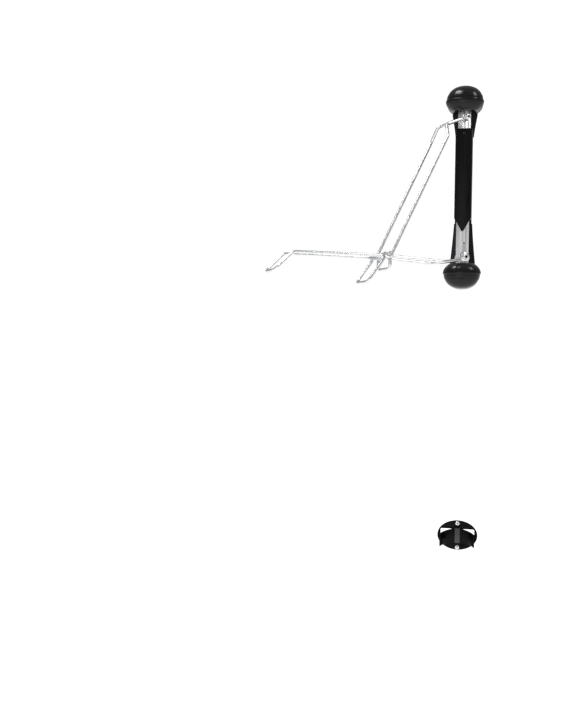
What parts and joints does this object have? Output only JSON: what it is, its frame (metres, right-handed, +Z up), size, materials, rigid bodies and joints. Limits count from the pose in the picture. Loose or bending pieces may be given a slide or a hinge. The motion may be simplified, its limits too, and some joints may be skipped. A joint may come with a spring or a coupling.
{
  "type": "bicycle wall rack",
  "caption": "Wall rack that holds a bicycle upright by its front wheel on a folding, swivelling pair of bent-rod arms, with a separate rear tyre rest.",
  "frame": {"origin": "on the wall plane, behind the middle of the rack's back rail", "axes": "+Z up, +Y into the wall, +X to the right as seen from the room"},
  "size_m": [0.6356, 0.4009, 1.4766],
  "materials": {
    "gloss_black": "moulded, high gloss",
    "cover_black": "satin, smooth",
    "rail_black": "black coating",
    "column_aluminium": "extruded, lightly brushed",
    "bright_rod": "bright plated steel rod",
    "fastener_steel": "bright zinc",
    "bush_plastic": "natural bearing plastic",
    "dark_plastic": "matt"
  },
  "bodies": {
    "wall_side": {"back_rail": "rail_black", "bottom_bracket": "gloss_black", "bottom_cap": "gloss_black", "bottom_pivot_bush": "bush_plastic", "bottom_rail_screw_1": "fastener_steel", "bottom_rail_screw_2": "fastener_steel", "bottom_wall_screw_left": "fastener_steel", "bottom_wall_screw_right": "fastener_steel", "bottom_wall_washer_left": "fastener_steel", "bottom_wall_washer_right": "fastener_steel", "cover_screw": "rail_black", "front_cover": "cover_black", "guide_collar": "dark_plastic", "top_bracket": "gloss_black", "top_cap": "gloss_black", "top_pivot_bush": "bush_plastic", "top_rail_screw_1": "fastener_steel", "top_rail_screw_2": "fastener_steel", "top_wall_screw_left": "fastener_steel", "top_wall_screw_right": "fastener_steel", "top_wall_washer_left": "fastener_steel", "top_wall_washer_right": "fastener_steel", "tyre_rest": "gloss_black", "tyre_rest_screw_lower": "fastener_steel", "tyre_rest_screw_upper": "fastener_steel"},
    "column": {"column_tube": "column_aluminium", "top_end_plug": "bush_plastic", "bottom_end_plug": "bush_plastic", "top_pivot_pin": "fastener_steel", "bottom_pivot_pin": "fastener_steel", "top_pivot_clip": "fastener_steel", "bottom_pivot_clip": "fastener_steel", "thrust_washer": "dark_plastic", "upper_hinge_washer_near": "dark_plastic", "upper_hinge_washer_far": "dark_plastic", "lower_hinge_washer_near": "dark_plastic", "lower_hinge_washer_far": "dark_plastic", "upper_hinge_bolt": "fastener_steel", "upper_hinge_nut": "fastener_steel", "lower_hinge_bolt": "fastener_steel", "lower_hinge_nut": "fastener_steel"},
    "lower_arm": {"inner_loop": "bright_rod", "cradle_loop": "bright_rod", "junction_plate_near": "bright_rod", "junction_plate_far": "bright_rod", "hook_pin_near": "fastener_steel", "hook_pin_far": "fastener_steel"},
    "brace": {"brace_rod_near": "bright_rod", "brace_rod_far": "bright_rod", "brace_tie": "bright_rod"}
  },
  "joints": [
    {"name": "swivel", "type": "hinge", "parent": "wall_side", "child": "column", "pos_m": [0, -0.045, 0], "axis": [0, 0, 1], "range_deg": [-10, 130]},
    {"name": "arm_fold", "type": "hinge", "parent": "column", "child": "lower_arm", "pos_m": [0, -0.045, -0.22], "axis": [-0.5, 0.866, 0], "range_deg": [0, 76]},
    {"name": "brace_fold", "type": "hinge", "parent": "column", "child": "brace", "pos_m": [0, -0.045, 0.219], "axis": [-0.5, 0.866, 0], "range_deg": [-25.5, 0]}
  ],
  "couplings": [
    {"joint": "brace_fold", "follows": "arm_fold", "ratio": -0.33}
  ]
}
